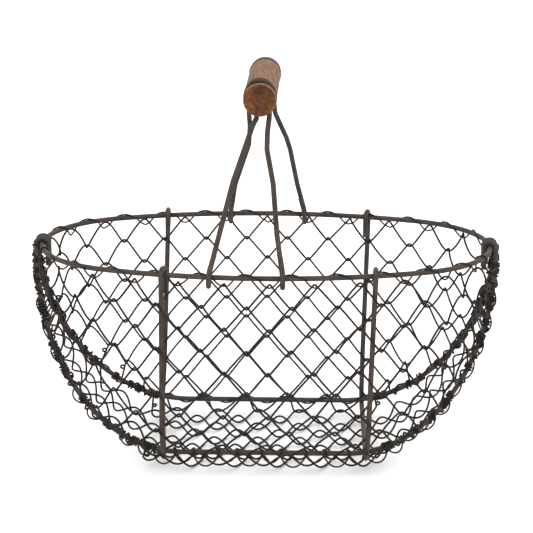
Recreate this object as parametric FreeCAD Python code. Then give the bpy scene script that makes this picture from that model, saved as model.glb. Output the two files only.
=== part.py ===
"""Egg collection basket: a boat of chain-link mesh on a bent-rod frame, with a wooden grip on two bails.

Units are millimetres. +Z is up, +X runs along the basket, and the front is towards -Y. The origin is on the
surface that the basket stands on, under the middle of its rim. Depths are measured down from the rim's plane.
"""
import FreeCAD, Part
import math
import os
from FreeCAD import Vector

# ---- driving dimensions ----

FRONT, BACK = -1, 1         # which side of the basket, and the sign of Y there

ROD_RADIUS = 1.7            # the thick rod of the rim, hoops, stays and bails
ROD_GAP = 0.3               # room left between rods that only rest on each other
MESH_WIRE = 0.85            # the thin wire of the mesh
LACE_RADIUS = 0.4           # the thinnest wire, which laces the mesh to the frame
LACE_BITS = 6               # straight bits of it in one turn

RIM_HALF_LENGTH = 150.0     # to the rod's centre, along X
RIM_HALF_WIDTH = 84.0       # to the rod's centre, along Y
RIM_END_RADIUS = 70.0       # the rim's two tight ends; its long sides follow from these three
RIM_HEIGHT = 142.0          # the rim's centre plane above the floor

HOOP_DEPTH = 129.0          # from the rim down to the hoops' straight bottom runs
HOOP_FLAT_HALF = 55.0       # half of each hoop's straight bottom run
HOOP_HALF_SPREAD = 53.0     # the bottom runs lie this far either side of the middle
HOOP_HALF_PINCH = 3.2       # and the hoops lie this close to the middle where they hang on the rim's ends
HOOK_RADIUS = 2 * ROD_RADIUS + ROD_GAP      # a rod bent over another rod, centre to centre
HOOK_TAIL = 15.0            # how far a hook's tail reaches below the rim
HOOP_BEND_RADIUS = 120.0    # at the corners of a hoop's route; its hooks take what room there is

STAY_LEGS = {               # a stay's legs: x at the rim and at the foot, and the step beside it to its tail
    ("left", FRONT): (-65.3, -66.0, 2.2),
    ("left", BACK): (-70.4, -74.2, 0.0),
    ("right", FRONT): (71.2, 68.0, 0.0),
    ("right", BACK): (71.1, 68.0, -2.2)}
STAY_BEND_RADIUS = 36.0
STAY_WALL_RUNS = (12, 100, 110, 120, 129)   # a stay runs inside the wall through these lengths down it
STAY_TURN_PLACE = 57.0      # a stay's straight run under the hoops starts this far from the middle
STAY_TAIL_GAP = 1.5         # its tails lie this much further in than a close-fitting hook would leave them
STAY_TAIL = 13.0            # how far they reach below the rim
STAY_LEG_TOP = 3.0          # where a leg leaves its hook, below the rim
STAY_LEG_STEP = 0.1         # and how far it stands out from a close-fitting hook

MESH_PITCH = 29.0           # along a spiral, from one turn to the next
WALL_PHASE = {FRONT: -4.0, BACK: 4.5}       # along each wall, the first knot's distance from the middle
KEEL_PHASE = 2.5            # and along the keel
KEEL_KNOTS = 14             # knots along the keel each way from its first one
HOOKING = 1.15              # each spiral reaches this far past the line where it meets the next
WALL_TOP = 4.6              # the top knots hang this far below the rim
WALL_ROWS = 9
WALL_ROW_HEIGHT = 14.5
WALL_HALF_THICKNESS = 3.4   # from the middle of a spiral to its outer and inner strands
WALL_STEP_OUT = 1.0         # the walls' middle surface lies this far outside the rim's centre line
WALL_LEAN = 0.055           # the walls close in by this much for each millimetre of depth
WALL_CORNER_RADIUS = 42.0   # at the walls' feet, as if they ran on to a floor at this depth:
WALL_DEPTH = 138.1
FOOT_LIFTS = (0, 2, 4, 6)   # a low knot too near a hoop is raised by the least of these that clears it
KEEL_ROWS = 7
KEEL_ROW_HEIGHT = 14.2
KEEL_HALF_THICKNESS = 2.8
ROW_END_GAP = 4.0           # a spiral stops this far short of the hoop that it is laced to

GRIP_HEIGHT = 107.9         # the grip's axis above the rim
GRIP_RADIUS = 10.6
GRIP_HALF_LENGTH = 51.0
GRIP_EDGE = 0.9             # the bevel round its ends
GRIP_OFFSET = -2.65         # its middle lies a little to one side
GRIP_YAW = 1.15             # and it is turned a little, in degrees
GROOVE_PLACE = 43.0         # from the grip's middle to each groove
GROOVE_FLOOR_RADIUS = 7.2
GROOVE_HALF_WIDTH = 2.2
RING_RADIUS = GROOVE_FLOOR_RADIUS + ROD_GAP + ROD_RADIUS
RING_RISE = {FRONT: 2.6, BACK: 0}       # the front bail's ring stands this far clear of the grip at its top
BAIL_BEND_RADIUS = 12.0
BAIL_EYES = {FRONT: (-34.9, 12.1), BACK: (-26.3, 26.0)}     # where along X each bail holds the rim
EYE_REACH = 6.0             # the mesh hangs lower this near to an eye
EYE_KNOT_DROP = 4.2         # by this much
BAIL_LIFT = 2.0             # how far the bails' eyes can rise before they catch under the rim
BAIL_TAIL_HEIGHT = 13.0     # how far their hooked tails reach above the rim
BAIL_TAIL_GAP = 0.6         # room left between a tail and its leg, past the hook's own
EYE_INNER_TOP = 2.0         # above the rim, where an eye's inner and outer sides begin
EYE_OUTER_TOP = 1.5

MESH_DEPTH = RIM_HEIGHT - MESH_WIRE / 2 - KEEL_HALF_THICKNESS       # the keel's middle surface
HOOP_END_AXIS = RIM_HALF_LENGTH + HOOK_RADIUS - HOOP_FLAT_HALF      # half-axes of the bent ends
MESH_END_AXIS = RIM_HALF_LENGTH - HOOP_FLAT_HALF
LACE_WIND_RADIUS = (ROD_RADIUS + LACE_RADIUS + 0.2) / math.cos(math.pi / LACE_BITS)
RIM_END_CENTRE = RIM_HALF_LENGTH - RIM_END_RADIUS
RIM_SIDE_RADIUS = ((RIM_END_CENTRE ** 2 + RIM_HALF_WIDTH ** 2 - RIM_END_RADIUS ** 2)
                   / (2 * (RIM_HALF_WIDTH - RIM_END_RADIUS)))
RIM_SIDE_CENTRE = RIM_SIDE_RADIUS - RIM_HALF_WIDTH                  # across the rim, beyond its middle


# ---- bent rods ----

def route_edges(points, radius):
    """Straight runs through the points, with a tangent arc at each corner, as large as asked or as fits."""
    edges = []
    start = points[0]
    for before, corner, after in zip(points, points[1:], points[2:]):
        incoming = (corner - before).normalize()
        outgoing = (after - corner).normalize()
        half_turn = incoming.getAngle(outgoing) / 2
        room = 0.49 * min((corner - before).Length, (after - corner).Length)
        cut = min(radius * math.tan(half_turn), room)
        bend = cut / math.tan(half_turn)
        arc_start = corner - incoming * cut
        arc_end = corner + outgoing * cut
        towards_centre = (outgoing - incoming).normalize()
        middle = corner + towards_centre * (bend / math.cos(half_turn) - bend)
        edges.append(Part.LineSegment(start, arc_start).toShape())
        edges.append(Part.Arc(arc_start, middle, arc_end).toShape())
        start = arc_end
    edges.append(Part.LineSegment(start, points[-1]).toShape())
    return edges


def sweep_rod(edges):
    """The thick round rod, along joined edges."""
    first = edges[0]
    begin, heading = first.valueAt(first.FirstParameter), first.tangentAt(first.FirstParameter)
    section = Part.Wire(Part.makeCircle(ROD_RADIUS, begin, heading))
    return Part.Wire(edges).makePipeShell([section], True, False)


def bend_rod(points, bend_radius):
    return sweep_rod(route_edges(points, bend_radius))


def at_depth(x, y, depth):
    return Vector(x, y, RIM_HEIGHT - depth)


# ---- the oval of the rim, and the surfaces that the mesh follows ----

def rim_half_width(x):
    """Half of the rim's width at x: on the long side's arc, or on the end's."""
    x = min(abs(x), RIM_HALF_LENGTH)
    meeting_x = RIM_END_CENTRE * RIM_SIDE_RADIUS / (RIM_SIDE_RADIUS - RIM_END_RADIUS)
    if x < meeting_x:
        return math.sqrt(RIM_SIDE_RADIUS ** 2 - x ** 2) - RIM_SIDE_CENTRE
    return math.sqrt(RIM_END_RADIUS ** 2 - (x - RIM_END_CENTRE) ** 2)


def hoop_half_spread(share):
    """How far a hoop lies from the middle plane, at a share of its whole depth."""
    return HOOP_HALF_PINCH + (HOOP_HALF_SPREAD - HOOP_HALF_PINCH) * min(share, 1)


def wall_profile(run):
    """Half width and depth of a wall where it is widest, at a length run down from the rim."""
    lean = math.atan(WALL_LEAN)
    turn_depth = WALL_DEPTH - WALL_CORNER_RADIUS * (1 - math.sin(lean))
    straight = turn_depth / math.cos(lean)
    width = RIM_HALF_WIDTH + WALL_STEP_OUT - min(run, straight) * math.sin(lean)
    if run < straight:
        return width, run * math.cos(lean)
    angle = min(lean + (run - straight) / WALL_CORNER_RADIUS, math.pi / 2)
    width -= WALL_CORNER_RADIUS * (math.cos(lean) - math.cos(angle))
    return width, turn_depth + WALL_CORNER_RADIUS * (math.sin(angle) - math.sin(lean))


def wall_half_length(depth):
    return HOOP_FLAT_HALF + MESH_END_AXIS * math.sqrt(1 - min(depth / MESH_DEPTH, 1) ** 2)


def wall_point(x, run):
    """A point of the back wall's middle surface. The front wall is the same one, turned half round."""
    width, depth = wall_profile(run)
    spread = hoop_half_spread(depth / MESH_DEPTH)
    along = min(abs(x) / wall_half_length(depth), 1)
    bulge = rim_half_width(along * RIM_HALF_LENGTH) / RIM_HALF_WIDTH
    return at_depth(x, spread + (width - spread) * bulge, depth)


def keel_point(travel, y):
    """A point of the keel's middle surface, at a length along it from the middle of its flat bottom."""
    angle = math.pi / 2
    left = abs(travel) - HOOP_FLAT_HALF
    while left > 0:
        bit = min(left, 1.0)
        angle -= bit / math.hypot(MESH_END_AXIS * math.sin(angle), MESH_DEPTH * math.cos(angle))
        left -= bit
    x = min(abs(travel), HOOP_FLAT_HALF) + MESH_END_AXIS * math.cos(angle)
    return at_depth(math.copysign(x, travel), y, MESH_DEPTH * math.sin(angle))


def hoop_line():
    """Points along the back hoop's centre line, from one end of the rim to the other."""
    angles = [math.radians(3 * step) for step in range(31)]
    bent = [(HOOP_FLAT_HALF + HOOP_END_AXIS * math.cos(angle), math.sin(angle)) for angle in angles]
    flat = [(5.0 * step, 1.0) for step in range(11)]
    half = [(x, share) for x, share in bent + flat[::-1]]
    whole = half + [(-x, share) for x, share in half[::-1]]
    return [at_depth(x, hoop_half_spread(share), HOOP_DEPTH * share) for x, share in whole]


HOOP_LINE = hoop_line()


# ---- mesh ----

def square_bar(start, end, upright):
    """A bar of square section between two points, run on by half its thickness at both ends."""
    half = MESH_WIRE / 2
    along = (end - start).normalize()
    across = along.cross(upright).normalize() * half
    rise = (along.cross(across)).normalize() * half
    foot = start - along * half
    corners = [foot + across + rise, foot - across + rise, foot - across - rise, foot + across - rise]
    face = Part.Face(Part.makePolygon(corners + corners[:1]))
    return face.extrude(end - start + along * MESH_WIRE)


def surface_normal(surface, travel, offset):
    """The unit normal of a surface, pointing out of the basket."""
    step = 0.5
    here = surface(travel, offset)
    along = surface(travel + step, offset) - surface(travel - step, offset)
    across = surface(travel, offset + step) - surface(travel, offset - step)
    normal = along.cross(across).normalize()
    outside = Vector(here.x / 4, here.y, here.z - RIM_HEIGHT)
    return normal if normal.dot(outside) > 0 else -normal


def mesh_spiral(surface, knots, half_thickness):
    """One flattened spiral of the mesh: square bars for its strands, and for the bends between them.

    knots holds each bend's place along the surface, the line across it where two spirals meet, how far past
    that line the bend reaches, and whether the strand after it is an outer one.
    """
    ends = []
    for travel, line, past, _ in knots:
        middle = surface(travel, line + past)
        outward = surface_normal(surface, travel, line)
        ends.append((middle - outward * half_thickness, middle + outward * half_thickness, outward))
    bars = [square_bar(inner, outer, Vector(1, 0, 0)) for inner, outer, _ in ends]
    for (_, _, _, outer_strand), here, there in zip(knots, ends, ends[1:]):
        face = 1 if outer_strand else 0
        bars.append(square_bar(here[face], there[face], here[2] + there[2]))
    return bars[0].multiFuse(bars[1:]).removeSplitter()


def clear_of_hoops(surface, knot, half_thickness):
    """Whether a bend stands clear of the hoop beside it, so that the lacing has room."""
    travel, line, past, _ = knot
    middle = surface(travel, line + past)
    outward = surface_normal(surface, travel, line) * half_thickness
    for point in (middle - outward, middle, middle + outward):
        beside = Vector(point.x, abs(point.y), point.z)
        if min(beside.distanceToPoint(place) for place in HOOP_LINE) < ROW_END_GAP:
            return False
    return True


def wall_knot_places(run, phase):
    """Where the knots of one level of a wall lie along X: evenly spaced along the wall's curve."""
    half_length = wall_half_length(wall_profile(run)[1])
    places = {}
    for direction in (-1, 1):
        x, length = 0.0, 0.0
        here = wall_point(x, run)
        number = 0 if direction * phase >= 0 else direction
        while abs(x) < half_length - 1:
            if length >= direction * (phase + number * MESH_PITCH / 2):
                places[number] = x
                number += direction
            x += 0.25 * direction
            there = wall_point(x, run)
            length += (there - here).Length
            here = there
    return places


def near_eye(x, side):
    """Whether a knot of the wall, with the wall as it stands at the back, hangs beside an eye of a bail."""
    return any(abs(x * side - eye) < EYE_REACH for eye in BAIL_EYES[side])


def wall_spiral(row, side):
    """One spiral of a side wall. Row 0 hangs under the rim."""
    top = WALL_TOP + row * WALL_ROW_HEIGHT
    bottom = top + WALL_ROW_HEIGHT
    upper, lower = wall_knot_places(top, WALL_PHASE[side]), wall_knot_places(bottom, WALL_PHASE[side])
    knots = []
    for number in sorted(set(upper) | set(lower)):
        at_top = (number + row) % 2 == 0
        level = upper if at_top else lower
        if number not in level:
            continue
        line, past = (top, -HOOKING) if at_top else (bottom, HOOKING)
        if row == 0 and at_top and near_eye(level[number], side):
            past = EYE_KNOT_DROP
        for lift in (0,) if at_top else FOOT_LIFTS:
            knot = (level[number], line, past - lift, not at_top)
            if clear_of_hoops(wall_point, knot, WALL_HALF_THICKNESS):
                knots.append(knot)
                break
    spiral = mesh_spiral(wall_point, knots, WALL_HALF_THICKNESS)
    if side == FRONT:
        spiral.rotate(Vector(0, 0, 0), Vector(0, 0, 1), 180)
    return spiral


def keel_spiral(row):
    """One spiral of the keel, the strip of mesh under the basket and up its ends, between the hoops."""
    middle = (row - (KEEL_ROWS - 1) / 2) * KEEL_ROW_HEIGHT
    half_height = KEEL_ROW_HEIGHT / 2
    knots = []
    for number in range(-KEEL_KNOTS, KEEL_KNOTS + 1):
        at_front = (number + row) % 2 == 0
        direction = FRONT if at_front else BACK
        travel = KEEL_PHASE + number * MESH_PITCH / 2
        knot = (travel, middle + direction * half_height, direction * HOOKING, at_front)
        depth = RIM_HEIGHT - keel_point(knot[0], middle).z
        inside = abs(middle) + half_height + HOOKING < hoop_half_spread(depth / MESH_DEPTH)
        if inside and clear_of_hoops(keel_point, knot, KEEL_HALF_THICKNESS):
            knots.append(knot)
    return mesh_spiral(keel_point, knots, KEEL_HALF_THICKNESS)


# ---- frame ----

def rim():
    """Four tangent arcs: two long sides and two tight ends."""
    meeting_x = RIM_END_CENTRE * RIM_SIDE_RADIUS / (RIM_SIDE_RADIUS - RIM_END_RADIUS)
    meeting_y = rim_half_width(meeting_x)

    def arc(start, middle, end):
        return Part.Arc(*(at_depth(x, y, 0) for x, y in (start, middle, end))).toShape()

    edges = [arc((-meeting_x, meeting_y), (0, RIM_HALF_WIDTH), (meeting_x, meeting_y)),
             arc((meeting_x, meeting_y), (RIM_HALF_LENGTH, 0), (meeting_x, -meeting_y)),
             arc((meeting_x, -meeting_y), (0, -RIM_HALF_WIDTH), (-meeting_x, -meeting_y)),
             arc((-meeting_x, -meeting_y), (-RIM_HALF_LENGTH, 0), (-meeting_x, meeting_y))]
    return sweep_rod(edges)


def hoop(side):
    """A long hoop hooked over both ends of the rim, with bent ends of elliptical shape and a flat bottom."""
    def hooked_end(direction):
        inner = direction * (RIM_HALF_LENGTH - HOOK_RADIUS)
        outer = direction * (RIM_HALF_LENGTH + HOOK_RADIUS)
        pinch = side * HOOP_HALF_PINCH
        points = [at_depth(inner, pinch, HOOK_TAIL), at_depth(inner, pinch, -HOOK_RADIUS),
                  at_depth(outer, pinch, -HOOK_RADIUS)]
        bends = 6
        half_step = math.pi / 4 / bends
        for number in range(bends):
            angle = half_step * (2 * number + 1)
            share = math.sin(angle) / math.cos(half_step)
            x = HOOP_FLAT_HALF + HOOP_END_AXIS * math.cos(angle) / math.cos(half_step)
            points.append(at_depth(direction * x, side * hoop_half_spread(share), HOOP_DEPTH * min(share, 1)))
        return points

    left, right = hooked_end(-1), hooked_end(1)
    return bend_rod(left + right[::-1], HOOP_BEND_RADIUS)


def hoop_depth(x):
    return HOOP_DEPTH * math.sqrt(1 - (max(abs(x) - HOOP_FLAT_HALF, 0) / HOOP_END_AXIS) ** 2)


def stay(place):
    """A rod across the basket: hooked over both sides of the rim, down the walls, and under the hoops."""
    def hooked_end(side):
        rim_x, foot_x, tail_step = STAY_LEGS[place, side]
        tail_x = rim_x + tail_step
        inner = side * (rim_half_width(tail_x) - HOOK_RADIUS - STAY_TAIL_GAP)
        outer = side * (rim_half_width(rim_x) + HOOK_RADIUS + STAY_LEG_STEP)
        top = -HOOK_RADIUS - ROD_GAP
        route = [at_depth(tail_x, inner, STAY_TAIL), at_depth(tail_x, inner, top),
                 at_depth(rim_x, outer, top), at_depth(rim_x, outer, STAY_LEG_TOP)]
        for run in STAY_WALL_RUNS:
            x = rim_x + (foot_x - rim_x) * run / STAY_WALL_RUNS[-1]
            point = wall_point(side * x, run)
            route.append(Vector(x, side * point.y, point.z))
        return route + [at_depth(foot_x, side * STAY_TURN_PLACE, hoop_depth(foot_x) + HOOK_RADIUS)]

    return bend_rod(hooked_end(FRONT) + hooked_end(BACK)[::-1], STAY_BEND_RADIUS)


# ---- handle ----

def grip_axis_point(y):
    return Vector(GRIP_OFFSET + y * math.tan(math.radians(GRIP_YAW)), y, RIM_HEIGHT + GRIP_HEIGHT)


def ring_point(side, angle, radius):
    """A point of a bail's ring, by its angle in degrees from the right, seen from the front."""
    yaw = math.radians(GRIP_YAW)
    sideways = Vector(math.cos(yaw), -math.sin(yaw), 0)
    turn = math.radians(angle)
    centre = grip_axis_point(side * GROOVE_PLACE)
    height = math.sin(turn) * (radius + (RING_RISE[side] if math.sin(turn) > 0 else 0))
    return centre + sideways * (radius * math.cos(turn)) + Vector(0, 0, height)


def ring_points(side, first, last, bends):
    """Corners of a bail's ring, clockwise from the first angle to the last."""
    half_step = (first - last) / bends / 2
    corner_radius = RING_RADIUS / math.cos(math.radians(half_step))
    angles = [first - half_step * (2 * number + 1) for number in range(bends)]
    corners = [ring_point(side, angle, corner_radius) for angle in angles]
    return [ring_point(side, first, RING_RADIUS)] + corners + [ring_point(side, last, RING_RADIUS)]


def bail_leg(side, eye_x, knees):
    """A bail's leg, from its tail inside the rim, round the eye under the rim, up to knees near the grip."""
    reach = rim_half_width(eye_x)
    outer, inner = side * (reach + HOOK_RADIUS), side * (reach - HOOK_RADIUS)
    eye_depth = ROD_RADIUS + ROD_GAP + BAIL_LIFT + ROD_RADIUS
    lowest_knee = Vector(*knees[0])
    share = BAIL_TAIL_HEIGHT / lowest_knee.z
    tail_x = eye_x + (lowest_knee.x - eye_x) * share
    tail_y = outer + (lowest_knee.y - outer) * share - side * (HOOK_RADIUS + BAIL_TAIL_GAP)
    points = [at_depth(tail_x, tail_y, -BAIL_TAIL_HEIGHT), at_depth(eye_x, inner, -EYE_INNER_TOP),
              at_depth(eye_x, inner, eye_depth), at_depth(eye_x, outer, eye_depth),
              at_depth(eye_x, outer, -EYE_OUTER_TOP)]
    return points + [at_depth(x, y, -height) for x, y, height in knees]


def bail(side, left_leg, right_leg, ring):
    return bend_rod(left_leg + ring + right_leg[::-1], BAIL_BEND_RADIUS)


def bail_front():
    """Both legs meet under the grip, and the ring between them goes nearly all the way round its groove."""
    left_eye, right_eye = BAIL_EYES[FRONT]
    left = bail_leg(FRONT, left_eye, [(-20.2, -61.6, 57.2), (-8.3, -46.8, 90.3), (-5.4, -43.1, 95.6)])
    right = bail_leg(FRONT, right_eye, [(8.2, -75.7, 26.5), (5.4, -62, 56.5), (1.2, -52.8, 76.6),
                                        (1.4, -47.9, 87.3), (2.5, -43.1, 95.6)])
    return bail(FRONT, left, right, ring_points(FRONT, -105, -410, 10))


def bail_back():
    """The left leg leaves its ring straight down, and the right leg leaves from below the grip."""
    left_eye, right_eye = BAIL_EYES[BACK]
    left = bail_leg(BACK, left_eye, [(-23, 77.3, 22.8), (-13.2, 65.5, 54), (-12.3, 56.5, 69),
                                     (-12.9, 51.7, 79), (-11.4, 43.3, 97)])
    right = bail_leg(BACK, right_eye, [(20.7, 76.8, 23), (15.4, 63.9, 51.5), (12.9, 60.2, 60),
                                       (5, 51.7, 79.2), (3.9, 43.3, 94)])
    return bail(BACK, left, right, ring_points(BACK, 180, -55, 7))


def grip():
    """A turned wooden handle with a groove near each end, on an axis that runs from front to back."""
    side = [(0, GRIP_HALF_LENGTH), (GRIP_RADIUS - GRIP_EDGE, GRIP_HALF_LENGTH),
            (GRIP_RADIUS, GRIP_HALF_LENGTH - GRIP_EDGE),
            (GRIP_RADIUS, GROOVE_PLACE + GROOVE_HALF_WIDTH),
            (GROOVE_FLOOR_RADIUS, GROOVE_PLACE + GROOVE_HALF_WIDTH),
            (GROOVE_FLOOR_RADIUS, GROOVE_PLACE - GROOVE_HALF_WIDTH),
            (GRIP_RADIUS, GROOVE_PLACE - GROOVE_HALF_WIDTH)]
    outline = side + [(radius, -along) for radius, along in side[::-1]]
    corners = [Vector(radius, along, 0) for radius, along in outline]
    profile = Part.Face(Part.makePolygon(corners + corners[:1]))
    wood = profile.revolve(Vector(0, 0, 0), Vector(0, 1, 0), 360)
    wood.rotate(Vector(0, 0, 0), Vector(0, 0, 1), -GRIP_YAW)
    wood.translate(grip_axis_point(0))
    return wood


# ---- lacing wire ----

def lace(line, turn_length, radius):
    """A thin wire wound round a line of points, as one solid of straight bits."""
    points = []
    travelled = 0.0
    next_stop = 0.0
    for here, there in zip(line, line[1:]):
        heading = (there - here).normalize()
        across = heading.cross(Vector(0, 0, 1)).normalize()
        rise = across.cross(heading)
        length = (there - here).Length
        while next_stop <= travelled + length:
            turn = 2 * math.pi * next_stop / turn_length
            on_line = here + heading * (next_stop - travelled)
            points.append(on_line + across * (radius * math.cos(turn)) + rise * (radius * math.sin(turn)))
            next_stop += turn_length / LACE_BITS
        travelled += length
    edges = [Part.LineSegment(here, there).toShape() for here, there in zip(points, points[1:])]
    section = Part.Wire(Part.makeCircle(LACE_RADIUS, points[0], points[1] - points[0]))
    return Part.Wire(edges).makePipeShell([section], True, False, 1)


def rim_spans(side):
    """The stretches of one side of the rim between its hooks and eyes, where they are long enough to lace."""
    room, reach = 7.5, 128.0
    stops = sorted([STAY_LEGS["left", side][0], STAY_LEGS["right", side][0], *BAIL_EYES[side]])
    edges = [-reach - room] + stops + [reach + room]
    return [(start + room, end - room) for start, end in zip(edges, edges[1:]) if end - start > 3 * room]


def rim_lacing(side):
    """Wire wound round one side of the rim, between the hooks and eyes that hold on to it."""
    pieces = []
    for start, end in rim_spans(side):
        steps = max(int((end - start) / 3), 2)
        xs = [start + (end - start) * step / steps for step in range(steps + 1)]
        line = [at_depth(x, side * rim_half_width(x), 0) for x in xs]
        pieces.append(lace(line, MESH_PITCH / 2, LACE_WIND_RADIUS))
    return Part.Compound(pieces)


def hoop_lacing(side):
    """Wire wound round one hoop, where the mesh meets it between the stays and up its bent ends."""
    pieces = []
    room, reach = 7.0, 138.0
    left, right = STAY_LEGS["left", side][1], STAY_LEGS["right", side][1]
    spans = [(-reach, left - room), (left + room, right - room), (right + room, reach)]
    for start, end in spans:
        line = [Vector(-point.x, side * point.y, point.z) for point in HOOP_LINE if start < -point.x < end]
        line = [here for here, there in zip(line, line[1:]) if (there - here).Length > 0.1]
        pieces.append(lace(line, MESH_PITCH / 2, LACE_WIND_RADIUS))
    return Part.Compound(pieces)


def end_tie(direction):
    """Turns of wire that bind both hoops together just below the rim's end."""
    points = []
    turns, corners, clearance = 3, 8, 3.1
    top, pitch = 4.6, 1.0
    spread = HOOP_HALF_PINCH + 3.0
    for number in range(turns * corners + 1):
        depth = top + pitch * number / corners
        angle = 2 * math.pi * (number + 0.5) / corners
        x = direction * (RIM_HALF_LENGTH + HOOK_RADIUS) + clearance * math.cos(angle)
        y = math.copysign(spread, math.sin(angle)) + clearance * math.sin(angle)
        points.append(at_depth(x, y, depth))
    edges = [Part.LineSegment(here, there).toShape() for here, there in zip(points, points[1:])]
    section = Part.Wire(Part.makeCircle(LACE_RADIUS, points[0], points[1] - points[0]))
    return Part.Wire(edges).makePipeShell([section], True, False, 1)


# ---- the whole basket ----

def basket():
    nodes = {"rim": rim(), "hoop_front": hoop(FRONT), "hoop_back": hoop(BACK),
             "stay_left": stay("left"), "stay_right": stay("right"),
             "bail_front": bail_front(), "bail_back": bail_back(), "grip": grip(),
             "rim_lacing_front": rim_lacing(FRONT), "rim_lacing_back": rim_lacing(BACK),
             "hoop_lacing_front": hoop_lacing(FRONT), "hoop_lacing_back": hoop_lacing(BACK),
             "end_tie_left": end_tie(-1), "end_tie_right": end_tie(1)}
    for row in range(WALL_ROWS):
        nodes["mesh_front_row_%d" % (row + 1)] = wall_spiral(row, FRONT)
        nodes["mesh_back_row_%d" % (row + 1)] = wall_spiral(row, BACK)
    for row in range(KEEL_ROWS):
        nodes["mesh_bottom_row_%d" % (row + 1)] = keel_spiral(row)
    return nodes


os.makedirs("parts", exist_ok=True)
for name, shape in basket().items():
    shape.exportStep("parts/%s.step" % name)
    print("%-20s solids %d valid %s volume %.0f" % (name, len(shape.Solids), shape.isValid(), shape.Volume))
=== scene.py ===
"""Looks of the egg collection basket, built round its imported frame.

Lengths are in millimetres up to where a mesh is made, and in metres for the floor, the lights and the camera.
"""
import math
import random

import bpy
from mathutils import Matrix, Vector
from mathutils.bvhtree import BVHTree


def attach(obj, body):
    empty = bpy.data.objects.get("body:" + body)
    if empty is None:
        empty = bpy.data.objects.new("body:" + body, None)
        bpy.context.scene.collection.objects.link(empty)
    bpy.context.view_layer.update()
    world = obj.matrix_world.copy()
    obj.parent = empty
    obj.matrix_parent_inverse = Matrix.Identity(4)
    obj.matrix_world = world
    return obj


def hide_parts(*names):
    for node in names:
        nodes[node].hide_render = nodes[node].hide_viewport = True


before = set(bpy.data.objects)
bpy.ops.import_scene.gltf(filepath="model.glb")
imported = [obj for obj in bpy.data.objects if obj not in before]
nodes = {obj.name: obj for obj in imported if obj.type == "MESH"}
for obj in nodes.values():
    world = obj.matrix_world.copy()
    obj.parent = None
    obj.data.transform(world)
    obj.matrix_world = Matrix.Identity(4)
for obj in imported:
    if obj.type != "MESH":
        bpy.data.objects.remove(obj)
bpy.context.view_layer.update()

# ---- the frame's dimensions, as the CAD model has them ----

ROD_RADIUS = 1.7
RIM_HALF_LENGTH = 150.0
RIM_HALF_WIDTH = 84.0
RIM_END_RADIUS = 70.0
RIM_HEIGHT = 142.0
HOOP_DEPTH = 129.0
HOOP_FLAT_HALF = 55.0
HOOP_HALF_SPREAD = 53.0
HOOP_HALF_PINCH = 3.2
HOOP_END_AXIS = 98.7
MESH_PITCH = 29.0
WALL_ROWS = 9
WALL_LEAN = 0.055
WALL_STEP_OUT = 1.0         # at its top a wall's middle surface lies this far outside the rim's middle
WALL_CORNER_RADIUS = 42.0
WALL_DEPTH = 138.1
KEEL_ROWS = 7
KEEL_ROW_HEIGHT = 14.2
KEEL_KNOTS = 14             # knots along the keel each way from its first one
MESH_DEPTH = 138.775
MESH_END_AXIS = 95.0
ROW_END_GAP = 4.0           # a spiral's last bend lies at least this far from the hoops
GRIP_HALF_LENGTH = 51.0
GRIP_RADIUS = 10.6
GRIP_CENTRE = (-2.65, 0.0, 249.9)
GRIP_YAW = 1.15
GROOVE_PLACE = 43.0
GROOVE_FLOOR_RADIUS = 7.2
GROOVE_HALF_WIDTH = 2.2
FRONT, BACK = -1, 1

# ---- the looks' own dimensions ----

WIRE_RADIUS = 0.7           # the round wire of the mesh
LACE_RADIUS = 0.58          # the wire that laces the mesh to the frame
HOOKING = 0.8               # each spiral of a wall reaches this far past the line where it meets the next
KEEL_HOOKING = 3.0          # and each one of the keel, where the turns are looser
WALL_COIL = 3.0             # half the thickness of a wall's flattened spirals
KEEL_COIL = 3.5             # and of the keel's
COIL_SPREAD = (0.88, 1.04)  # a strand's coil is this share of that
STRAND_STEPS = 14           # straight bits in one strand of a spiral
STRAND_BOW = 0.5            # a strand is bent along by up to this much
WALL_TURN = (0.78, 0.55)    # 1 is an oval turn and less is a flatter one; how much its bends move it along
WALL_END_TURN = (0.9, 1.9)  # towards the basket's ends, where they are rounder
KEEL_TURN = (0.95, 2.6)     # the keel's turns are looser still
ROUND_FROM, ROUND_TO = 60.0, 110.0          # along a wall, where its turns go from flat to round
WALL_PHASE = {FRONT: -4.0, BACK: 0.0}       # along each wall, the first knot's distance from the middle
WALL_TOP = {FRONT: 4.6, BACK: 3.3}          # the top knots hang this far below the rim
WALL_ROW_HEIGHT = {FRONT: 15.1, BACK: 14.5}
LOW_ROW_HEIGHT = {FRONT: 12.0, BACK: 14.5}  # from the seventh row down, where the front wall is squeezed
HIGH_ROWS = 6
FOOT_RUN = 149.5            # the lowest knots of a wall lie this far down it, under its hoop
FOOT_SHIFT = {FRONT: -2.0, BACK: -8.5}      # and this far along, where they hook the keel's
KEEL_PHASE = 6.0
KEEL_RISE = 1.0             # its loose turns are thicker, so their middle lies this much higher
KNOT_SCATTER = 0.45         # a knot strays up to this far from its place
KNOT_END_SCATTER = 0.9      # and this much further towards the basket's ends
SCATTER_FROM, SCATTER_TO = 60, 140          # from the middle; the second figure grows between these
ROD_CLEARANCE = 0.08        # a wire lies this far from the rods

WRAP_STEPS = 12             # points in one turn of a spiral's end round a hoop
WRAP_GAP = 0.1              # room between such a turn and the hoop
WRAP_SLACK = (0.05, 0.9)    # and how much more the long turns have
LONG_TURNS, LONG_PITCH = (0.6, 1.6), (6.0, 11.0)
CLOSE_TURNS, CLOSE_GAP = (1.6, 3.4), (0.05, 0.35)
WRAP_CHANGE = 0.5           # turns from the long pitch to the close one
CURL_CHANCE = 0.35          # share of the spirals' ends that have a small loop
CURL_STEPS = 10
CURL_RADIUS = (1.2, 1.9)
CURL_DRIFT = 0.5            # a loop ends this far ahead of its start
CURL_STEP_BACK = 0.12       # and each of its steps lies this much further back

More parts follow.
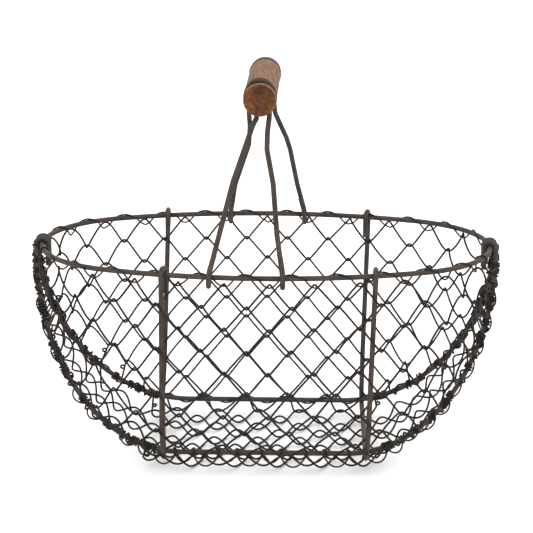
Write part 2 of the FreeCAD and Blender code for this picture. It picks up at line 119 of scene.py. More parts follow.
LACE_STEPS = 16             # points in one turn round the rim
RIM_LACE_REACH = 2.15       # from the rim's middle to the lacing wire, above it and beside it
RIM_LACE_SAG = (4.9, 6.6)   # and below it
RIM_LACE_DRIFT = 0.06       # share of a step by which a turn's sides lean
RIM_LACE_END = 146.0        # the lacing is carried on to here
RIM_LACE_SHORT = 140        # where its last knot lies nearer to the middle than this
HOOP_LACE_STEPS = 20        # points in one turn round a hoop
HOOP_LACE_REACH = 2.4       # from a hoop's middle to the lacing wire where it lies close
HOOP_LACE_START, HOOP_LACE_STOP = 15.2, 13  # places on the hoop's line, from its two ends
BOWL_CHANCE = 0.75          # share of the turns that hang as bowls, on the front hoop's bent ends
BOWL_HANG, BOWL_WIDE = (3.2, 5.6), (2.6, 4.0)
OVAL_HANG, OVAL_WIDE = (6.2, 7.0), 3.0      # every other bowl under its straight run is narrow
ROUND_HANG, ROUND_WIDE = (8.6, 9.6), 5.2    # and the ones between are wide
FLAT_SHARE = 0.93           # from this share of its depth down, a hoop counts as its straight run

BINDING_STEPS = 12          # points in one turn
BINDING_TURNS = 4
BINDING_REACH = 2.5         # from the hoops' middles to the wire that binds them
BINDING_TOP, BINDING_DROP = 4.4, 4.2        # its first turn's depth, and how far down its turns go
BINDING_OUT = 3.6           # its turns' middle lies this far past the rim's end
COIL_TURNS = 15             # in the loose coil below the binding
COIL_FROM, COIL_SWEEP = 3.5, 24             # its place on the hoops' bends, in degrees
COIL_OUT = 1.0              # it lies this far outside the hoops' middles
COIL_WIDTH = 2.2            # and reaches this far past them
COIL_LOOSE = (2.0, 0.8)     # half its thickness, and how much that comes and goes

RIM_END_CENTRE = RIM_HALF_LENGTH - RIM_END_RADIUS
RIM_SIDE_RADIUS = ((RIM_END_CENTRE ** 2 + RIM_HALF_WIDTH ** 2 - RIM_END_RADIUS ** 2)
                   / (2 * (RIM_HALF_WIDTH - RIM_END_RADIUS)))
RIM_SIDE_CENTRE = RIM_SIDE_RADIUS - RIM_HALF_WIDTH


# ---- the oval of the rim, the hoops, and the surfaces that the mesh follows ----

def at_depth(x, y, depth):
    return Vector((x, y, RIM_HEIGHT - depth))


def half_turned(point):
    """The point turned half round about the vertical axis, from the back of the basket to its front."""
    return Vector((-point.x, -point.y, point.z))


def rim_half_width(x):
    x = min(abs(x), RIM_HALF_LENGTH)
    meeting_x = RIM_END_CENTRE * RIM_SIDE_RADIUS / (RIM_SIDE_RADIUS - RIM_END_RADIUS)
    if x < meeting_x:
        return math.sqrt(RIM_SIDE_RADIUS ** 2 - x ** 2) - RIM_SIDE_CENTRE
    return math.sqrt(RIM_END_RADIUS ** 2 - (x - RIM_END_CENTRE) ** 2)


def hoop_half_spread(share):
    """Half the distance between the hoops, at a share of their depth."""
    return HOOP_HALF_PINCH + (HOOP_HALF_SPREAD - HOOP_HALF_PINCH) * min(share, 1)


def wall_profile(run):
    """How far out and how deep a wall's middle surface is, at a length down it from the rim."""
    lean = math.atan(WALL_LEAN)
    turn_depth = WALL_DEPTH - WALL_CORNER_RADIUS * (1 - math.sin(lean))
    straight = turn_depth / math.cos(lean)
    width = RIM_HALF_WIDTH + WALL_STEP_OUT - min(run, straight) * math.sin(lean)
    if run < straight:
        return width, run * math.cos(lean)
    angle = min(lean + (run - straight) / WALL_CORNER_RADIUS, math.pi / 2)
    width -= WALL_CORNER_RADIUS * (math.cos(lean) - math.cos(angle))
    return width, turn_depth + WALL_CORNER_RADIUS * (math.sin(angle) - math.sin(lean))


def wall_half_length(depth):
    return HOOP_FLAT_HALF + MESH_END_AXIS * math.sqrt(1 - min(depth / MESH_DEPTH, 1) ** 2)


def wall_point(x, run):
    """A place on the back wall's middle surface."""
    width, depth = wall_profile(run)
    spread = hoop_half_spread(depth / MESH_DEPTH)
    along = min(abs(x) / wall_half_length(depth), 1)
    bulge = rim_half_width(along * RIM_HALF_LENGTH) / RIM_HALF_WIDTH
    return at_depth(x, spread + (width - spread) * bulge, depth)


def keel_table():
    """Length along the keel from its flat bottom's middle, with the x and the depth that it reaches there."""
    table = [(0.0, 0.0, MESH_DEPTH), (HOOP_FLAT_HALF, HOOP_FLAT_HALF, MESH_DEPTH)]
    steps = 180
    for number in range(1, steps + 1):
        angle = math.pi / 2 * (1 - number / steps)
        x = HOOP_FLAT_HALF + MESH_END_AXIS * math.cos(angle)
        depth = MESH_DEPTH * math.sin(angle)
        travel = table[-1][0] + math.hypot(x - table[-1][1], depth - table[-1][2])
        table.append((travel, x, depth))
    return table


KEEL_TABLE = keel_table()


def keel_point(travel, y):
    """A place on the keel's middle surface, at a length along it from the middle."""
    far = abs(travel)
    for before, after in zip(KEEL_TABLE, KEEL_TABLE[1:]):
        if far <= after[0]:
            break
    share = min((far - before[0]) / (after[0] - before[0]), 1)
    x = before[1] + (after[1] - before[1]) * share
    depth = before[2] + (after[2] - before[2]) * share
    return at_depth(math.copysign(x, travel), y, depth - KEEL_RISE * depth / MESH_DEPTH)


def hoop_line():
    """Points about a millimetre apart along the back hoop, from the left end of the rim to the right."""
    half = []
    for number in range(181):
        angle = math.radians(number / 2)
        half.append((HOOP_FLAT_HALF + HOOP_END_AXIS * math.cos(angle), math.sin(angle)))
    half += [(HOOP_FLAT_HALF - number, 1.0) for number in range(1, int(HOOP_FLAT_HALF) + 1)]
    right = [at_depth(x, hoop_half_spread(share), HOOP_DEPTH * share) for x, share in half]
    return [Vector((-point.x, point.y, point.z)) for point in right] + right[-2::-1]


HOOP_LINE = hoop_line()


def hoop_points(side):
    return [Vector((point.x, side * point.y, point.z)) for point in HOOP_LINE]


# ---- round wire ----

def smooth_path(points, steps=4):
    """A smooth line through the points."""
    line = []
    padded = [2 * points[0] - points[1]] + list(points) + [2 * points[-1] - points[-2]]
    for a, b, c, d in zip(padded, padded[1:], padded[2:], padded[3:]):
        for step in range(steps):
            t = step / steps
            line.append(0.5 * (2 * b + (c - a) * t + (2 * a - 5 * b + 4 * c - d) * t * t
                               + (3 * b - a - 3 * c + d) * t ** 3))
    return line + [points[-1]]


def add_tube(corners, faces, points, radius, sides=8):
    """Adds a round wire with closed ends, along the points, to the lists of corners and faces."""
    normal = (points[1] - points[0]).orthogonal().normalized()
    base = len(corners)
    for number, point in enumerate(points):
        before, after = points[max(number - 1, 0)], points[min(number + 1, len(points) - 1)]
        heading = (after - before).normalized()
        normal = (normal - heading * normal.dot(heading)).normalized()
        binormal = heading.cross(normal)
        for side in range(sides):
            angle = 2 * math.pi * side / sides
            corners.append(point + (normal * math.cos(angle) + binormal * math.sin(angle)) * radius)
    for ring in range(len(points) - 1):
        for side in range(sides):
            here, there = base + ring * sides + side, base + ring * sides + (side + 1) % sides
            faces.append((here, there, there + sides, here + sides))
    faces.append(tuple(base + side for side in reversed(range(sides))))
    last = base + (len(points) - 1) * sides
    faces.append(tuple(last + side for side in range(sides)))


def make_piece(name, corners, faces, material, replaced, body="basket", place=None):
    mesh = bpy.data.meshes.new(name)
    mesh.from_pydata([tuple(corner * 0.001) for corner in corners], [], faces)
    mesh.polygons.foreach_set("use_smooth", [True] * len(faces))
    mesh.materials.append(material)
    mesh.validate()
    piece = bpy.data.objects.new(name, mesh)
    bpy.context.scene.collection.objects.link(piece)
    if place is not None:
        piece.matrix_world = place
    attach(piece, body)
    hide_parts(replaced)


def wire_piece(name, paths, radius, material, replaced):
    corners, faces = [], []
    for path in paths:
        add_tube(corners, faces, path, radius)
    make_piece(name, corners, faces, material, replaced)


# ---- keeping wires off the rods ----

def rod_tree(names):
    """The surfaces of the named rods, to find the nearest place on them."""
    corners, faces = [], []
    for name in names:
        mesh = nodes[name].data
        base = len(corners)
        corners += [vertex.co * 1000 for vertex in mesh.vertices]
        faces += [tuple(base + index for index in polygon.vertices) for polygon in mesh.polygons]
    return BVHTree.FromPolygons(corners, faces)


ROD_NODES = ("rim", "hoop_front", "hoop_back", "stay_left", "stay_right", "bail_front", "bail_back")
RODS = rod_tree(ROD_NODES)


def clear_of_rods(path, radius):
    """The path, with each point that is in a rod, or too near to one, moved out to lie against it."""
    moved = []
    for point in path:
        for _ in range(2):
            place, normal, _, _ = RODS.find_nearest(point)
            room = (point - place).dot(normal)
            if room < radius + ROD_CLEARANCE:
                point = point + normal * (radius + ROD_CLEARANCE - room)
        moved.append(point)
    return moved


# ---- mesh ----

def strand_shape(half_height, half_thickness, flatness, advance):
    """Half a turn of a flattened spiral: its place across, its place out, and its share of the way along."""
    shape = []
    for step in range(STRAND_STEPS + 1):
        angle = math.pi * step / STRAND_STEPS
        across, out = math.cos(angle), max(math.sin(angle), 0.0)
        shape.append((math.copysign(abs(across) ** flatness, across), out ** flatness))
    lengths = [0.0]
    for (across, out), (next_across, next_out) in zip(shape, shape[1:]):
        lengths.append(lengths[-1] + math.hypot(half_height * (next_across - across),
                                                advance * half_thickness * (next_out - out)))
    return [(across, out, length / lengths[-1]) for (across, out), length in zip(shape, lengths)]


def surface_normal(surface, travel, offset):
    """The way straight out of the basket, at a place on one of its surfaces."""
    step = 0.5
    here = surface(travel, offset)
    along = surface(travel + step, offset) - surface(travel - step, offset)
    across = surface(travel, offset + step) - surface(travel, offset - step)
    normal = along.cross(across).normalized()
    outside = Vector((here.x / 4, here.y, here.z - RIM_HEIGHT))
    return normal if normal.dot(outside) > 0 else -normal


def near_hoop(point):
    beside = Vector((point.x, abs(point.y), point.z))
    return min((beside - place).length for place in HOOP_LINE)


def clear_of_hoops(surface, travel, offset, half_thickness):
    middle = surface(travel, offset)
    outward = surface_normal(surface, travel, offset) * half_thickness
    return all(near_hoop(point) >= ROW_END_GAP for point in (middle - outward, middle, middle + outward))


def knot_shift(seed, level, number, far):
    """How far a hand-made knot lies from its place. Both spirals that meet there share it."""
    rng = random.Random(seed * 100000 + level * 500 + number)
    towards_end = min(max(far - SCATTER_FROM, 0) / (SCATTER_TO - SCATTER_FROM), 1)
    reach = KNOT_SCATTER + KNOT_END_SCATTER * towards_end
    return rng.uniform(-reach, reach), rng.uniform(-reach, reach) * 0.8


def wall_turn(travel):
    """The shape of a wall's turns, at a length along it from the middle."""
    share = min(max((abs(travel) - ROUND_FROM) / (ROUND_TO - ROUND_FROM), 0), 1)
    return [flat + (at_end - flat) * share for flat, at_end in zip(WALL_TURN, WALL_END_TURN)]


def keel_turn(travel):
    """The same all along the keel."""
    return KEEL_TURN


def spiral_path(surface, knots, half_thickness, turn_at, seed):
    """One spiral's wire. Each knot is a bend's place, and whether the strand after it is an outer one."""
    rng = random.Random(seed)
    path = []
    for (travel, offset, outer), (next_travel, next_offset, _) in zip(knots, knots[1:]):
        turn = turn_at((travel + next_travel) / 2)
        half_height = abs(next_offset - offset) / 2
        face = 1 if outer else -1
        bow = rng.uniform(-STRAND_BOW, STRAND_BOW)
        thickness = half_thickness * rng.uniform(*COIL_SPREAD)
        for across, out, share in strand_shape(half_height, thickness, *turn)[:-1]:
            along = travel + (next_travel - travel) * share + bow * out ** 2
            place = (offset + next_offset) / 2 + (offset - next_offset) / 2 * across
            outward = surface_normal(surface, along, place)
            path.append(surface(along, place) + outward * (face * thickness * out))
    last_travel, last_offset, _ = knots[-1]
    return path + [surface(last_travel, last_offset)]


def hoop_wrap(point, heading, side, rng):
    """Where a spiral's end goes: round the nearest hoop, in long slanting turns and then in close ones."""
    line = hoop_points(side)
    start = min(range(3, len(line) - 3), key=lambda index: (line[index] - point).length)
    direction = 1 if (line[start + 1] - line[start]).dot(heading) > 0 else -1
    spin = 1 if rng.random() < 0.5 else -1
    long_turns, long_pitch = rng.uniform(*LONG_TURNS), rng.uniform(*LONG_PITCH)
    close_turns, close_pitch = rng.uniform(*CLOSE_TURNS), 2 * WIRE_RADIUS + rng.uniform(*CLOSE_GAP)
    slack = rng.uniform(*WRAP_SLACK)
    wrap = []
    travel = 0.0
    for step in range(int((long_turns + close_turns) * WRAP_STEPS)):
        turn = step / WRAP_STEPS
        far = min(max((turn - long_turns + WRAP_CHANGE / 2) / WRAP_CHANGE, 0), 1)
        travel += (long_pitch + (close_pitch - long_pitch) * far) / WRAP_STEPS
        index = start + direction * travel
        low = min(max(int(index), 1), len(line) - 3)
        centre = line[low].lerp(line[low + 1], min(max(index - low, 0), 1))
        tangent = (line[low + 1] - line[low]).normalized()
        out = point - centre
        out = (out - tangent * out.dot(tangent)).normalized()
        sideways = tangent.cross(out)
        angle = spin * 2 * math.pi * turn
        looseness = slack * (1 - far) * math.sin(math.pi * min(turn / long_turns, 1)) ** 2
        radius = ROD_RADIUS + WIRE_RADIUS + WRAP_GAP + looseness
        wrap.append(centre + (out * math.cos(angle) + sideways * math.sin(angle)) * radius)
    return wrap


def curl(point, heading, rng):
    """A small loop in the wire, where it was twisted round itself."""
    ahead = heading.normalized()
    across = Vector((heading.z, 0.3 * heading.y, -heading.x)).normalized()
    radius = rng.uniform(*CURL_RADIUS)
    loop = []
    for step in range(CURL_STEPS + 1):
        angle = 2 * math.pi * step / CURL_STEPS
        place = point + across * (radius * (1 - math.cos(angle))) + ahead * (radius * math.sin(angle))
        loop.append(place + Vector((0, CURL_STEP_BACK, 0)) * step + ahead * CURL_DRIFT * (step / CURL_STEPS))
    return loop


def with_ends(path, side, seed):
    """A spiral's path, with both of its ends wrapped to a side's hoop."""
    rng = random.Random(seed)
    result = list(path)
    for first in (True, False):
        end = result[0] if first else result[-1]
        inner = result[3] if first else result[-4]
        wrap = hoop_wrap(end, end - inner, side, rng)
        if rng.random() < CURL_CHANCE:
            link = curl(end.lerp(wrap[0], 0.4), wrap[0] - end, rng)
        else:
            link = [end.lerp(wrap[0], 0.5)]
        extra = clear_of_rods(smooth_path([end] + link + wrap, 3), WIRE_RADIUS)[1:]
        result = extra[::-1] + result if first else result + extra
    return result


def wall_knot_places(run, phase):
    """The x of each knot in a level, by its number. They lie half a pitch apart along the wall itself."""
    half_length = wall_half_length(wall_profile(run)[1])
    places = {}
    for direction in (-1, 1):
        x, length = 0.0, 0.0
        here = wall_point(x, run)
        number = 0 if direction * phase >= 0 else direction
        while abs(x) < half_length - 0.5:
            if length >= direction * (phase + number * MESH_PITCH / 2):
                places[number] = x
                number += direction
            x += 0.5 * direction
            there = wall_point(x, run)
            length += (there - here).length
            here = there
    return places


def level_run(side, level):
    """How far down a wall a level of knots lies."""
    if level > WALL_ROWS:
        return FOOT_RUN
    return (WALL_TOP[side] + min(level, HIGH_ROWS) * WALL_ROW_HEIGHT[side]
            + max(level - HIGH_ROWS, 0) * LOW_ROW_HEIGHT[side])


def wall_levels(side):
    """The knots of each level, from under the rim down to those that hook the keel."""
    return [wall_knot_places(level_run(side, level), WALL_PHASE[side]) for level in range(WALL_ROWS + 2)]


WALL_LEVELS = {side: wall_levels(side) for side in (FRONT, BACK)}


def wall_spiral(row, side):
    """One spiral of a side wall, as the back wall has it. Row 0 hangs under the rim."""
    knots = []
    for number in sorted(set(WALL_LEVELS[side][row]) | set(WALL_LEVELS[side][row + 1])):
        at_top = (number + row) % 2 == 0
        level = row if at_top else row + 1
        if number not in WALL_LEVELS[side][level]:
            continue
        x = WALL_LEVELS[side][level][number] + (FOOT_SHIFT[side] if level > WALL_ROWS else 0)
        run = level_run(side, level) + (-HOOKING if at_top else HOOKING)
        if not clear_of_hoops(wall_point, x, run, WALL_COIL):
            continue
        shift_x, shift_run = knot_shift(side + 5, level, number, abs(x))
        if level == 0:
            shift_run *= 0.5                                # the rim holds the top knots in line
        knots.append((x + shift_x, run + shift_run, not at_top))
    turn_at = keel_turn if row == WALL_ROWS else wall_turn
    path = spiral_path(wall_point, knots, WALL_COIL, turn_at, 100 * (side + 2) + row)
    if side == FRONT:
        path = [half_turned(point) for point in path]
    path = clear_of_rods(path, WIRE_RADIUS)
    return with_ends(path, side, 300 * (side + 2) + row)


def keel_spiral(row):
    """One spiral of the keel, the strip of mesh under the basket and up its ends."""
    middle = (row - (KEEL_ROWS - 1) / 2) * KEEL_ROW_HEIGHT
    reach = KEEL_ROW_HEIGHT / 2 + KEEL_HOOKING
    knots = []
    for number in range(-KEEL_KNOTS, KEEL_KNOTS + 1):
        at_front = (number + row) % 2 == 0
        travel = KEEL_PHASE + number * MESH_PITCH / 2
        offset = middle + (-reach if at_front else reach)
        depth = RIM_HEIGHT - keel_point(travel, middle).z
        inside = abs(middle) + KEEL_ROW_HEIGHT / 2 < hoop_half_spread(depth / MESH_DEPTH)
        if inside and clear_of_hoops(keel_point, travel, offset, KEEL_COIL):
            shift_x, shift_y = knot_shift(40, row if at_front else row + 1, number, abs(travel))
            knots.append((travel + shift_x, offset + shift_y, at_front))
    path = spiral_path(keel_point, knots, KEEL_COIL, keel_turn, 900 + row)
    path = clear_of_rods(path, WIRE_RADIUS)
    return with_ends(path, FRONT if middle < -1 else BACK, 700 + row)


# ---- lacing ----

def rim_lace(side):
    """One wire wound all along a side of the rim, once over it between each two top bends of the mesh."""
    tops = WALL_LEVELS[side][0]
    places = sorted(tops[number] for number in tops if number % 2 == 0)
    if abs(places[0]) < RIM_LACE_SHORT:
        places = [-RIM_LACE_END] + places + [RIM_LACE_END]
    rng = random.Random(60 + side)
    points = []
    for here, there in zip(places, places[1:]):
        sag = rng.uniform(*RIM_LACE_SAG)
        late = rng.uniform(-RIM_LACE_DRIFT, RIM_LACE_DRIFT)
        for step in range(LACE_STEPS):
            angle = 2 * math.pi * step / LACE_STEPS - math.pi
            share = (step + late * math.sin(angle)) / LACE_STEPS
            x = here + (there - here) * share
            on_rim = at_depth(x, rim_half_width(x), 0)
            outward = Vector((x / 5, on_rim.y, 0)).normalized()
            rise = math.cos(angle)
            height = rise * (RIM_LACE_REACH if rise > 0 else sag)
            points.append(on_rim - outward * (RIM_LACE_REACH * math.sin(angle)) + Vector((0, 0, height)))
    path = points if side == BACK else [half_turned(point) for point in points]
    return clear_of_rods(smooth_path(path, 2), LACE_RADIUS)


def hoop_lace(side):
    """One wire wound along a hoop, hanging from the front one in bowls and lying close to the back one."""
    line = hoop_points(side)
    rng = random.Random(80 + side)
    pitch = MESH_PITCH / 2 if side == FRONT else MESH_PITCH
    turns = int((len(line) - HOOP_LACE_STOP - HOOP_LACE_START) / pitch)
    points = []
    for step in range(turns * HOOP_LACE_STEPS):
        turn, part = divmod(step, HOOP_LACE_STEPS)
        angle = 2 * math.pi * part / HOOP_LACE_STEPS
        index = HOOP_LACE_START + pitch * step / HOOP_LACE_STEPS
        flat = RIM_HEIGHT - line[int(index)].z > FLAT_SHARE * HOOP_DEPTH
        if part == 0:
            bowl = side == FRONT and (flat or rng.random() < BOWL_CHANCE)
            hang = rng.uniform(*BOWL_HANG) if bowl else HOOP_LACE_REACH
            wide = rng.uniform(*BOWL_WIDE) if bowl else 0.0
            if bowl and flat:
                hangs, wide = (OVAL_HANG, OVAL_WIDE) if turn % 2 == 1 else (ROUND_HANG, ROUND_WIDE)
                hang = rng.uniform(*hangs)
        index += wide * math.sin(angle - math.pi)
        index = min(max(index, 1), len(line) - 3)
        low = int(index)
        centre = line[low].lerp(line[low + 1], index - low)
        tangent = (line[low + 1] - line[low]).normalized()
        outward = Vector((0, side * (0.3 if flat else 0.8), -1))
        outward = (outward - tangent * outward.dot(tangent)).normalized()
        sideways = tangent.cross(outward)
        reach = -math.cos(angle)
        out = reach * (hang if reach > 0 else HOOP_LACE_REACH)
        points.append(centre + outward * out + sideways * (HOOP_LACE_REACH * math.sin(angle)))
    return clear_of_rods(smooth_path(points, 2), LACE_RADIUS)


def end_binding(direction):
    """Turns that bind both hoops together under the rim's end, and the loose coil on down between them."""
    rng = random.Random(20 + direction)
    points = []
    steps = BINDING_STEPS * BINDING_TURNS
    for number in range(steps + 1):
        angle = 2 * math.pi * number / BINDING_STEPS
        depth = BINDING_TOP + BINDING_DROP * number / steps + rng.uniform(-0.25, 0.25)
        x = direction * (RIM_HALF_LENGTH + BINDING_OUT) + BINDING_REACH * math.cos(angle)
        y = math.copysign(HOOP_HALF_PINCH * 0.95, math.sin(angle)) + BINDING_REACH * math.sin(angle)
        points.append(at_depth(x, y, depth))
    steps = BINDING_STEPS * COIL_TURNS
    for number in range(1, steps + 1):
        share = number / steps
        angle = 2 * math.pi * number / BINDING_STEPS
        along = math.radians(COIL_FROM + COIL_SWEEP * share ** 1.2)
        x = direction * (HOOP_FLAT_HALF + (HOOP_END_AXIS + COIL_OUT) * math.cos(along))
        depth = HOOP_DEPTH * math.sin(along)
        width = hoop_half_spread(math.sin(along)) + COIL_WIDTH
        loose = COIL_LOOSE[0] + COIL_LOOSE[1] * math.sin(number * 0.37)
        points.append(at_depth(x + direction * loose * math.cos(angle), width * math.sin(angle),
                               depth + 1.2 * math.sin(angle * 0.5)))
    return clear_of_rods(smooth_path(points, 2), LACE_RADIUS)


# ---- materials ----

def new_material(name):
    material = bpy.data.materials.new(name)
    material.use_nodes = True
    tree = material.node_tree
    return material, tree, tree.nodes["Principled BSDF"]


def add_node(tree, kind, **settings):
    node = tree.nodes.new(kind)
    for key, value in settings.items():
        if key in node.inputs:
            node.inputs[key].default_value = value
        else:
            setattr(node, key, value)
    return node


def colour_ramp(tree, factor, stops):
    ramp = tree.nodes.new("ShaderNodeValToRGB")
    elements = ramp.color_ramp.elements
    while len(elements) < len(stops):
        elements.new(0.5)
    for element, (place, colour) in zip(elements, stops):
        element.position = place
        element.color = (*colour, 1)
    tree.links.new(factor, ramp.inputs["Fac"])
    return ramp.outputs["Color"]


def compute(tree, operation, *values):
    """A maths node. Each value is a number or another node's output."""
    node = add_node(tree, "ShaderNodeMath", operation=operation)
    for socket, value in zip(node.inputs, values):
        if isinstance(value, bpy.types.NodeSocket):
            tree.links.new(value, socket)
        else:
            socket.default_value = value
    return node.outputs[0]


def map_range(tree, value, low, high, to_low=0.0, to_high=1.0):
    node = tree.nodes.new("ShaderNodeMapRange")
    for socket, number in (("From Min", low), ("From Max", high), ("To Min", to_low), ("To Max", to_high)):
        node.inputs[socket].default_value = number
    tree.links.new(value, node.inputs["Value"])
    return node.outputs["Result"]


def noise(tree, place, **settings):
    node = add_node(tree, "ShaderNodeTexNoise", **settings)
    tree.links.new(place, node.inputs["Vector"])
    return node.outputs["Fac"]


def add_relief(tree, shader, height, strength):
    relief = add_node(tree, "ShaderNodeBump", Strength=strength, Distance=RELIEF_DEPTH)
    tree.links.new(height, relief.inputs["Height"])
    tree.links.new(relief.outputs["Normal"], shader.inputs["Normal"])


RELIEF_DEPTH = 0.0004       # in metres
IRON_ROUGHNESS = 0.55
WOOD_ROUGHNESS = 0.7
WOOD_STRETCH = (1.0, 0.09, 1.0)             # draws the grain out along Y
WOOD_SIDE = [(0.30, (0.085, 0.038, 0.018)),
             (0.46, (0.150, 0.074, 0.036)),
             (0.58, (0.195, 0.103, 0.054)),
             (0.74, (0.250, 0.145, 0.085))]
WOOD_END = [(0.34, (0.036, 0.016, 0.013)),
            (0.48, (0.082, 0.030, 0.013)),
            (0.60, (0.135, 0.050, 0.017)),
            (0.74, (0.175, 0.078, 0.030))]


def iron(name, dark, light, grain, bump):
    """Old iron wire: a dark skin, mottled at two scales, a little rougher where it is lighter."""
    material, tree, shader = new_material(name)
    place = tree.nodes.new("ShaderNodeTexCoord").outputs["Object"]
    broad = noise(tree, place, Scale=90.0, Detail=4.0, Roughness=0.6)
    fine = noise(tree, place, Scale=grain, Detail=6.0, Roughness=0.65)
    mottling = compute(tree, "MULTIPLY_ADD", fine, 0.5, compute(tree, "MULTIPLY", broad, 0.5))
    middle = tuple((a + b) / 2 for a, b in zip(dark, light))
    colour = colour_ramp(tree, mottling, [(0.36, dark), (0.5, middle), (0.66, light)])
    tree.links.new(colour, shader.inputs["Base Color"])
    rough = map_range(tree, mottling, 0.35, 0.65, IRON_ROUGHNESS - 0.08, IRON_ROUGHNESS + 0.1)
    tree.links.new(rough, shader.inputs["Roughness"])
    shader.inputs["Metallic"].default_value = 0.1
    shader.inputs["Specular IOR Level"].default_value = 0.2
    add_relief(tree, shader, mottling, bump)
    return material


def turned_wood():
    """Stained hardwood with its grain along Y: streaks on the sides, rusty blotches on the ends."""
    material, tree, shader = new_material("grip_wood")
    place = tree.nodes.new("ShaderNodeTexCoord").outputs["Object"]
    stretch = add_node(tree, "ShaderNodeMapping", Scale=WOOD_STRETCH)
    tree.links.new(place, stretch.inputs["Vector"])
    streaks = noise(tree, stretch.outputs[0], Scale=620.0, Detail=6.0, Roughness=0.7)
    pores = noise(tree, stretch.outputs[0], Scale=2200.0, Detail=3.0, Roughness=0.6)
    blotches = noise(tree, place, Scale=170.0, Detail=5.0, Roughness=0.7, Distortion=0.6)
    facing = tree.nodes.new("ShaderNodeSeparateXYZ")
    tree.links.new(tree.nodes.new("ShaderNodeTexCoord").outputs["Normal"], facing.inputs[0])
    on_end = map_range(tree, compute(tree, "ABSOLUTE", facing.outputs["Y"]), 0.55, 0.95)
    mix = add_node(tree, "ShaderNodeMix", data_type="RGBA")
    tree.links.new(on_end, mix.inputs["Factor"])
    tree.links.new(colour_ramp(tree, streaks, WOOD_SIDE), mix.inputs["A"])
    tree.links.new(colour_ramp(tree, blotches, WOOD_END), mix.inputs["B"])
    tree.links.new(mix.outputs["Result"], shader.inputs["Base Color"])
    shader.inputs["Roughness"].default_value = WOOD_ROUGHNESS
    shader.inputs["Specular IOR Level"].default_value = 0.12
    add_relief(tree, shader, compute(tree, "MULTIPLY_ADD", pores, 0.5, streaks), 0.35)
    return material


rod_iron = iron("rod_iron", (0.020, 0.014, 0.011), (0.074, 0.055, 0.044), 900.0, 0.5)
mesh_iron = iron("mesh_iron", (0.006, 0.004, 0.003), (0.022, 0.016, 0.012), 1500.0, 0.4)
lace_iron = iron("lace_iron", (0.007, 0.005, 0.004), (0.026, 0.019, 0.015), 1500.0, 0.4)
wood = turned_wood()


# ---- the grip ----

GRIP_EDGE = 1.3             # the radius of its worn edges
GRIP_EDGE_STEPS = 6
GRIP_SIDES = 96
BELLY_RINGS = 10            # each way from its middle
BELLY_WEAR = 0.05           # how far its radius strays there
LIP = 0.9                   # a groove's worn edge is this wide
GROOVE_OUTLINE = [(LIP, GRIP_RADIUS), (0.35, GRIP_RADIUS - 0.12), (0.05, GRIP_RADIUS - 0.5),
                  (0.0, GRIP_RADIUS - 1.2), (0.0, GROOVE_FLOOR_RADIUS + 0.5), (-0.4, GROOVE_FLOOR_RADIUS)]


def grip_outline():
    """The grip's outline from one end to the other, as places along it and radii. Its edges are worn."""
    half = [(GRIP_HALF_LENGTH, 0.5 * GRIP_RADIUS), (GRIP_HALF_LENGTH - 0.05, 8.6)]
    for number in range(GRIP_EDGE_STEPS + 1):
        angle = math.pi / 2 * number / GRIP_EDGE_STEPS
        half.append((GRIP_HALF_LENGTH - GRIP_EDGE + GRIP_EDGE * math.cos(angle),
                     GRIP_RADIUS - GRIP_EDGE + GRIP_EDGE * math.sin(angle)))
    outer, inner = GROOVE_PLACE + GROOVE_HALF_WIDTH, GROOVE_PLACE - GROOVE_HALF_WIDTH
    half += [(outer + away, radius) for away, radius in GROOVE_OUTLINE]
    half += [(inner - away, radius) for away, radius in GROOVE_OUTLINE[::-1]]
    belly = []
    rng = random.Random(7)
    for number in range(1, 2 * BELLY_RINGS):
        along = (inner - LIP) * (1 - number / BELLY_RINGS)
        belly.append((along, GRIP_RADIUS + rng.uniform(-BELLY_WEAR, BELLY_WEAR)))
    return half + belly + [(-along, radius) for along, radius in half[::-1]]


def grip_piece():
    rings = grip_outline()
    corners = [Vector((0, GRIP_HALF_LENGTH, 0))]
    for along, radius in rings:
        for side in range(GRIP_SIDES):
            angle = 2 * math.pi * side / GRIP_SIDES
            corners.append(Vector((radius * math.cos(angle), along, radius * math.sin(angle))))
    corners.append(Vector((0, -GRIP_HALF_LENGTH, 0)))
    last = len(corners) - 1
    faces = []
    for side in range(GRIP_SIDES):
        following = (side + 1) % GRIP_SIDES
        faces.append((0, 1 + following, 1 + side))
        for ring in range(len(rings) - 1):
            here, there = 1 + ring * GRIP_SIDES + side, 1 + ring * GRIP_SIDES + following
            faces.append((here, there, there + GRIP_SIDES, here + GRIP_SIDES))
        faces.append((last, last - GRIP_SIDES + side, last - GRIP_SIDES + following))
    place = (Matrix.Translation(Vector(GRIP_CENTRE) * 0.001)
             @ Matrix.Rotation(-math.radians(GRIP_YAW), 4, "Z"))
    make_piece("grip_turned", corners, faces, wood, "grip", body="grip", place=place)


# ---- all the pieces ----

for name in ROD_NODES:
    nodes[name].data.materials.clear()
    nodes[name].data.materials.append(rod_iron)


def mesh_piece(place, paths):
    wire_piece("wire_" + place, paths, WIRE_RADIUS, mesh_iron, "mesh_" + place)


def lace_piece(name, path, node):
    wire_piece(name, [path], LACE_RADIUS, lace_iron, node)


for side, word in ((FRONT, "front"), (BACK, "back")):
    for row in range(WALL_ROWS):
        paths = [wall_spiral(row, side)]
        if row == WALL_ROWS - 1:
            paths.append(wall_spiral(WALL_ROWS, side))      # the one that meets the keel, under the hoop
        mesh_piece("%s_row_%d" % (word, row + 1), paths)
    lace_piece("lace_rim_" + word, rim_lace(side), "rim_lacing_" + word)
    lace_piece("lace_hoop_" + word, hoop_lace(side), "hoop_lacing_" + word)
for row in range(KEEL_ROWS):
    mesh_piece("bottom_row_%d" % (row + 1), [keel_spiral(row)])
for direction, word in ((-1, "left"), (1, "right")):
    lace_piece("binding_" + word, end_binding(direction), "end_tie_" + word)
grip_piece()

# ---- floor, light and camera ----

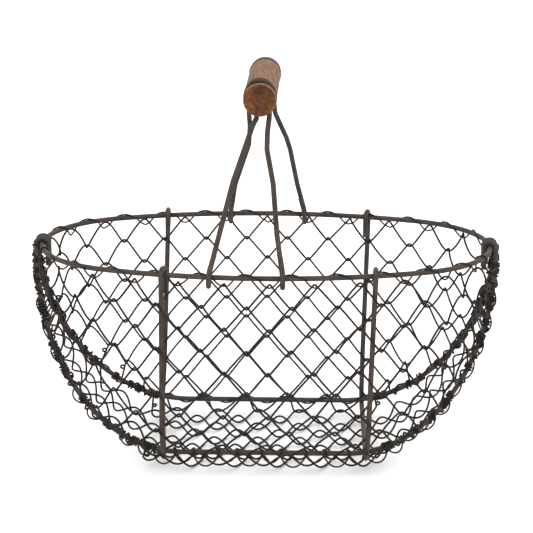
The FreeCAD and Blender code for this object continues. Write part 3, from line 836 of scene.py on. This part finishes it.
FLOOR_HALF = 3.0
FLOOR_WHITE = (0.93, 0.93, 0.925, 1)
LIGHT_AIM = (0, 0, 0.12)
WORLD_STRENGTH = 1.2


def studio_floor():
    mesh = bpy.data.meshes.new("floor")
    corners = [(x * FLOOR_HALF, y * FLOOR_HALF, 0) for x, y in ((-1, -1), (1, -1), (1, 1), (-1, 1))]
    mesh.from_pydata(corners, [], [(0, 1, 2, 3)])
    floor = bpy.data.objects.new("floor", mesh)
    bpy.context.scene.collection.objects.link(floor)
    material, _, shader = new_material("floor")
    shader.inputs["Base Color"].default_value = FLOOR_WHITE
    shader.inputs["Roughness"].default_value = 0.9
    mesh.materials.append(material)


def soft_light(name, place, size, power):
    light = bpy.data.lights.new(name, "AREA")
    light.shape = "SQUARE"
    light.size = size
    light.energy = power
    lamp = bpy.data.objects.new(name, light)
    bpy.context.scene.collection.objects.link(lamp)
    lamp.location = place
    lamp.rotation_euler = (Vector(LIGHT_AIM) - Vector(place)).to_track_quat("-Z", "Y").to_euler()


studio_floor()
soft_light("key_light", (-0.9, -1.1, 1.5), 1.6, 14)
soft_light("fill_light", (1.3, -0.8, 0.9), 1.6, 7)
soft_light("back_light", (0.2, 1.4, 1.3), 2.0, 10)
world = bpy.data.worlds.new("studio")
world.use_nodes = True
world.node_tree.nodes["Background"].inputs["Color"].default_value = (1.0, 1.0, 1.0, 1)
world.node_tree.nodes["Background"].inputs["Strength"].default_value = WORLD_STRENGTH
bpy.context.scene.world = world

CAMERA_DISTANCE = 1.3918    # from the middle of the rim, in metres
CAMERA_ELEVATION = 15.115   # above the rim's plane, in degrees
CAMERA_SIDE = 0.918         # to the right of the middle, in degrees
CAMERA_DIP = 15.733         # how far below the horizon it looks
CAMERA_TURN = 0.897         # to the left, in degrees
CAMERA_ROLL = 0.312
CAMERA_SENSOR = 36.0        # in millimetres, as is its focal length
CAMERA_LENS = 139.99
camera_data = bpy.data.cameras.new("camera")
camera_data.sensor_width = CAMERA_SENSOR
camera_data.lens = CAMERA_LENS
camera_data.clip_start = 0.05
camera = bpy.data.objects.new("camera", camera_data)
bpy.context.scene.collection.objects.link(camera)
elevation, side_angle = math.radians(CAMERA_ELEVATION), math.radians(CAMERA_SIDE)
camera.location = (CAMERA_DISTANCE * math.cos(elevation) * math.sin(side_angle),
                   -CAMERA_DISTANCE * math.cos(elevation) * math.cos(side_angle),
                   RIM_HEIGHT * 0.001 + CAMERA_DISTANCE * math.sin(elevation))
camera.rotation_euler = (Matrix.Rotation(math.radians(CAMERA_TURN), 4, "Z")
                         @ Matrix.Rotation(math.radians(90 - CAMERA_DIP), 4, "X")
                         @ Matrix.Rotation(math.radians(CAMERA_ROLL), 4, "Z")).to_euler()
bpy.context.scene.camera = camera
bpy.context.scene.view_settings.view_transform = "Standard"
